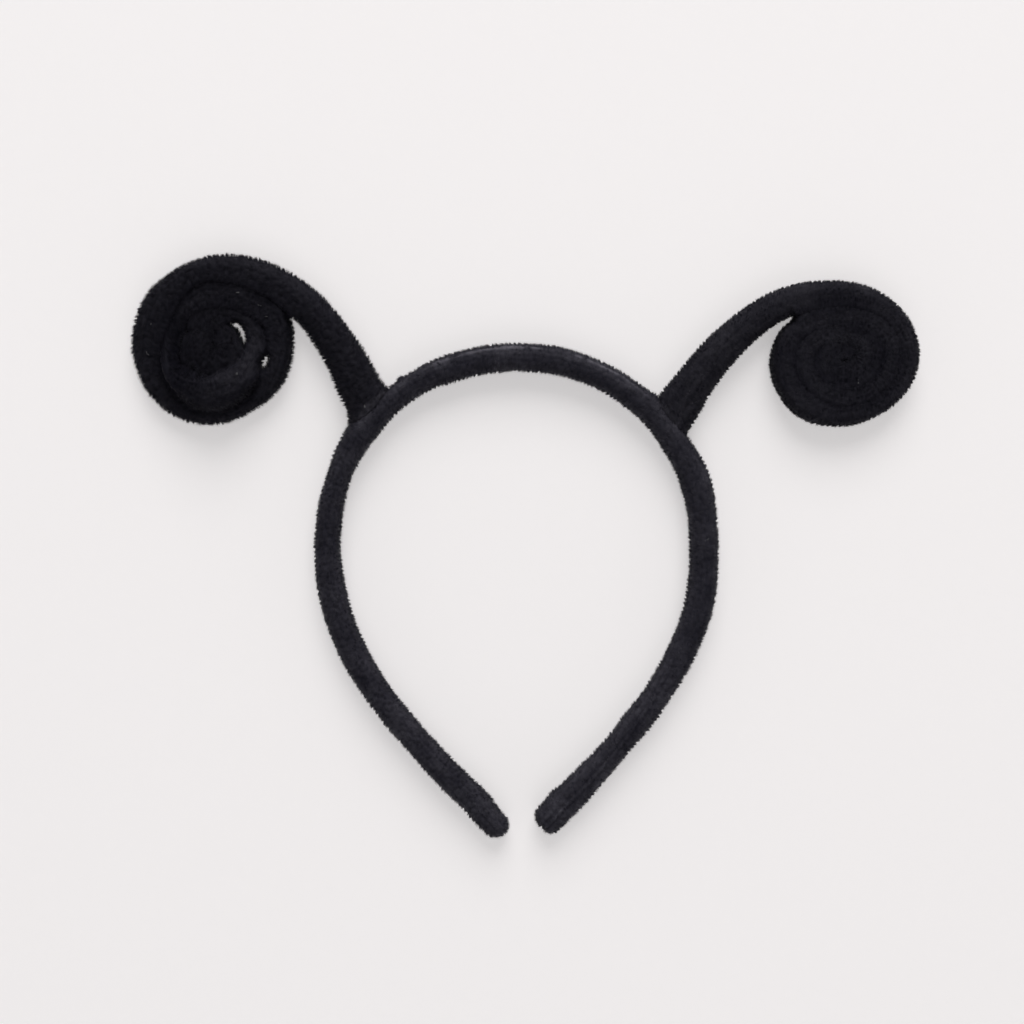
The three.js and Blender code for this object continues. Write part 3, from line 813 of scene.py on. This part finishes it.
def pileMesh(piece, form):
    rng = np.random.default_rng(piece["seed"] + seeds["pile"])
    count = piece["strands"]
    shaped = form["shaped"]
    rings, around = shaped.shape[:2]
    wide = np.linalg.norm(np.roll(shaped, -1, axis=1) - shaped, axis=-1)[:-1]
    long = np.linalg.norm(np.diff(shaped, axis=0), axis=-1)
    area = wide * long * (1 - pile["creaseThin"] * form["crease"][:-1])
    i, k = np.divmod(rng.choice(area.size, count, p=area.ravel() / area.sum()), around)
    beside = (k + 1) % around
    a, b = rng.random((2, count))

    def between(field):
        near = (1 - a)[:, None] * field[i, k] + a[:, None] * field[i + 1, k]
        far = (1 - a)[:, None] * field[i, beside] + a[:, None] * field[i + 1, beside]
        return (1 - b)[:, None] * near + b[:, None] * far

    base = between(shaped)
    out = unit(between(form["normals"]))
    nap = unit(between(form["ahead"]))
    side = np.cross(out, nap)
    where = form["where"]
    along = (where[i] * (1 - a) + where[i + 1] * a - where[0]) / piece["tuft"]
    offset, own = tuftField(piece, along, (k + b) / around * form["cells"], form["cells"])[1:]

    # each tuft leans its own way along the nap, and its strands gather at its tip
    swirl = pieceNoise(piece, base, pile["swirlCell"], "swirl") * pile["swirl"]
    swirl = swirl + (own[:, 0] - 0.5) * pile["tuftSwirl"]
    lay = nap * np.cos(swirl)[:, None] + side * np.sin(swirl)[:, None]
    crush = (1 + pieceNoise(piece, base, pile["crushCell"], "crush")) / 2
    lowLean, highLean = np.radians(pile["lean"])
    lean = lowLean + (highLean - lowLean) * (crush + own[:, 1]) / 2
    tuftWay = unit(out * np.cos(lean)[:, None] + lay * np.sin(lean)[:, None])
    short, tall = pile["tuftLength"]
    tuftTip = base + (nap * offset[:, :1] + side * offset[:, 1:]) * piece["tuft"]
    tuftTip = tuftTip + tuftWay * (piece["tuftRise"] * (short + (tall - short) * own[:, 2]))[:, None]
    ownWay = unit(tuftWay + rng.normal(0, pile["stray"], base.shape))
    ownTip = base + ownWay * (piece["tuftRise"] * rng.uniform(*pile["length"], count))[:, None]
    drawn = pile["gather"] + rng.normal(0, pile["gatherVaries"], count)
    drawn = np.clip(drawn, 0, pile["gatherMost"])[:, None]
    tip = ownTip * (1 - drawn) + tuftTip * drawn
    root = base - out * pile["root"]

    # a strand is a slim pyramid on three corners
    direction = unit(tip - root)
    flat = unit(np.cross(direction, out + pile["askew"]))
    deep = unit(np.cross(flat, direction))
    radius = rng.uniform(*pile["width"], count)[:, None] / 2
    turn = rng.uniform(0, 2 * math.pi, count)
    corners = []
    for third in range(3):
        t = (turn + third * 2 * math.pi / 3)[:, None]
        corners.append(root + (flat * np.cos(t) + deep * np.sin(t)) * radius)
    points = np.stack(corners + [tip], 1)
    points[..., 2] = np.maximum(points[..., 2], pile["floorGap"])
    number = np.arange(count)[:, None] * 4
    faces = np.stack([number + np.array(c) for c in ((1, 0, 3), (2, 1, 3), (0, 2, 3), (0, 1, 2))], 1)
    spot = chartPlace((i + a)[:, None], ((k + b) / around)[:, None], rings)
    mapFace = spot + np.array([(0, 0), (chart["strand"], 0), (0, chart["strand"])])

    shade = 1 + piece["mottle"] * (2 * own[:, 2] - 1) + piece["streaks"] * form["streak"][i, k]
    shade = shade * rng.uniform(*pile["ownTone"], count) * form["shade"][i, k]
    lint = np.zeros(count)
    for x, y in piece["lint"]:
        away = np.hypot(tip[:, 0] - x, tip[:, 1] - y) - pile["lintUpper"] * tip[:, 2]
        lint[np.argsort(away)[:pile["lintStrands"]]] = pile["lintTone"]
    # painted shade at each strand's roots; the tip has the full tone
    traits = {"pileTone": np.stack([shade * pile["rootShade"]] * 3 + [shade], -1).ravel(),
              "lint": np.repeat(lint, 4)}
    strands = meshObject(piece["node"] + "_pile", points.reshape(-1, 3), faces.ravel(), np.full(count * 4, 3),
                         np.repeat(mapFace[:, None], 4, 1).reshape(-1, 2), traits)

    # normals mostly follow the cloth, so the pile shades as one surface
    out = unit(out + np.array([0, 0, pile["creaseLift"]]) * form["crease"][i, k][:, None])
    rootWay = unit(out[:, None] + pile["roundness"] * unit(points[:, :3] - root[:, None]))
    tipWay = unit(out + pile["roundness"] * direction)[:, None]
    strands.data.normals_split_custom_set_from_vertices(np.concatenate([rootWay, tipWay], 1).reshape(-1, 3))
    return strands


for piece in (headband, antennaLeft, antennaRight):
    material = velourMaterial(piece["node"] + "_velour", piece["tone"])
    form = skinForm(piece)
    cover = skinMesh(piece, form)
    strands = pileMesh(piece, form)
    for part in (cover, strands):
        part.data.materials.append(material)
        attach(part, "root")
    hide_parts(piece["node"])
    print(piece["node"], "run", round(float(form["where"][-1] - form["where"][0])), "mm,",
          len(cover.data.polygons), "skin faces,", len(strands.data.polygons), "pile faces")

# in metres
floor = {
    "color": (0.86, 0.84, 0.84),
    "mottle": 0.99,  # darkest share of the colour
    "mottleScale": 9,
    "roughness": 0.9,
    "gloss": 0.1,
    "glow": 0.5,  # keeps its shadows faint
    "wallGlow": 0.2,
    "wallFrom": 1 / 3,  # share of the bend's height where the wall's glow is reached
    "flat": 3.0,  # radius of the level part
    "bend": 2.5,  # radius of the sweep up to the wall
    "around": 96,
    "bendRings": 24,
}


def floorMaterial():
    material = bpy.data.materials.new("paleFloor")
    material.use_nodes = True
    nodes, links = material.node_tree.nodes, material.node_tree.links
    shader = nodes["Principled BSDF"]
    noise = nodes.new("ShaderNodeTexNoise")
    noise.inputs["Scale"].default_value = floor["mottleScale"]
    tint = nodes.new("ShaderNodeMix")
    tint.data_type = "RGBA"
    tint.inputs["A"].default_value = (*[c * floor["mottle"] for c in floor["color"]], 1)
    tint.inputs["B"].default_value = (*floor["color"], 1)
    links.new(noise.outputs["Fac"], tint.inputs["Factor"])
    links.new(tint.outputs["Result"], shader.inputs["Base Color"])
    shader.inputs["Roughness"].default_value = floor["roughness"]
    shader.inputs["Specular IOR Level"].default_value = floor["gloss"]
    shader.inputs["Emission Color"].default_value = (*floor["color"], 1)
    place = nodes.new("ShaderNodeTexCoord")
    height = nodes.new("ShaderNodeSeparateXYZ")
    glow = nodes.new("ShaderNodeMapRange")  # less up the wall
    glow.inputs["From Max"].default_value = floor["bend"] * floor["wallFrom"]
    glow.inputs["To Min"].default_value = floor["glow"]
    glow.inputs["To Max"].default_value = floor["wallGlow"]
    links.new(place.outputs["Object"], height.inputs["Vector"])
    links.new(height.outputs["Z"], glow.inputs["Value"])
    links.new(glow.outputs["Result"], shader.inputs["Emission Strength"])
    material.cycles.emission_sampling = "NONE"
    return material


def layFloor():
    around, rings = floor["around"], floor["bendRings"]
    points = []
    for a in np.linspace(0, math.pi / 2, rings):
        radius = floor["flat"] + floor["bend"] * math.sin(a)
        height = floor["bend"] * (1 - math.cos(a))
        for t in np.arange(around) * 2 * math.pi / around:
            points.append((radius * math.cos(t), radius * math.sin(t), height))
    faces = [tuple(range(around))]
    for i in range(rings - 1):
        for k in range(around):
            beside = (k + 1) % around
            here, after = i * around, (i + 1) * around
            faces.append((here + k, after + k, after + beside, here + beside))
    mesh = bpy.data.meshes.new("floor")
    mesh.from_pydata(points, [], faces)
    mesh.shade_smooth()
    mesh.materials.append(floorMaterial())
    ground = bpy.data.objects.new("floor", mesh)
    bpy.context.scene.collection.objects.link(ground)


layFloor()

lights = {
    "key": {"at": (0.1, 1.95, 1.4), "size": 1.7, "watts": 27.0, "color": (1.0, 0.99, 0.985)},
    "fill": {"at": (0.3, -1.4, 1.8), "size": 1.6, "watts": 4.0, "color": (0.99, 0.985, 1.0)},
}
roomLight = 0.165


def hangLights():
    for name, light in lights.items():
        data = bpy.data.lights.new(name, "AREA")
        data.shape = "DISK"
        data.size = light["size"]
        data.energy = light["watts"]
        data.color = light["color"]
        lamp = bpy.data.objects.new(name, data)
        lamp.visible_camera = False
        lamp.location = light["at"]
        lamp.rotation_euler = (-Vector(light["at"])).to_track_quat("-Z", "Y").to_euler()
        bpy.context.scene.collection.objects.link(lamp)
    world = bpy.data.worlds.new("room")
    world.use_nodes = True
    world.node_tree.nodes["Background"].inputs["Color"].default_value = (1, 1, 1, 1)
    world.node_tree.nodes["Background"].inputs["Strength"].default_value = roomLight
    bpy.context.scene.world = world


hangLights()
bpy.context.scene.view_settings.view_transform = "Standard"
print("floor and lights set")
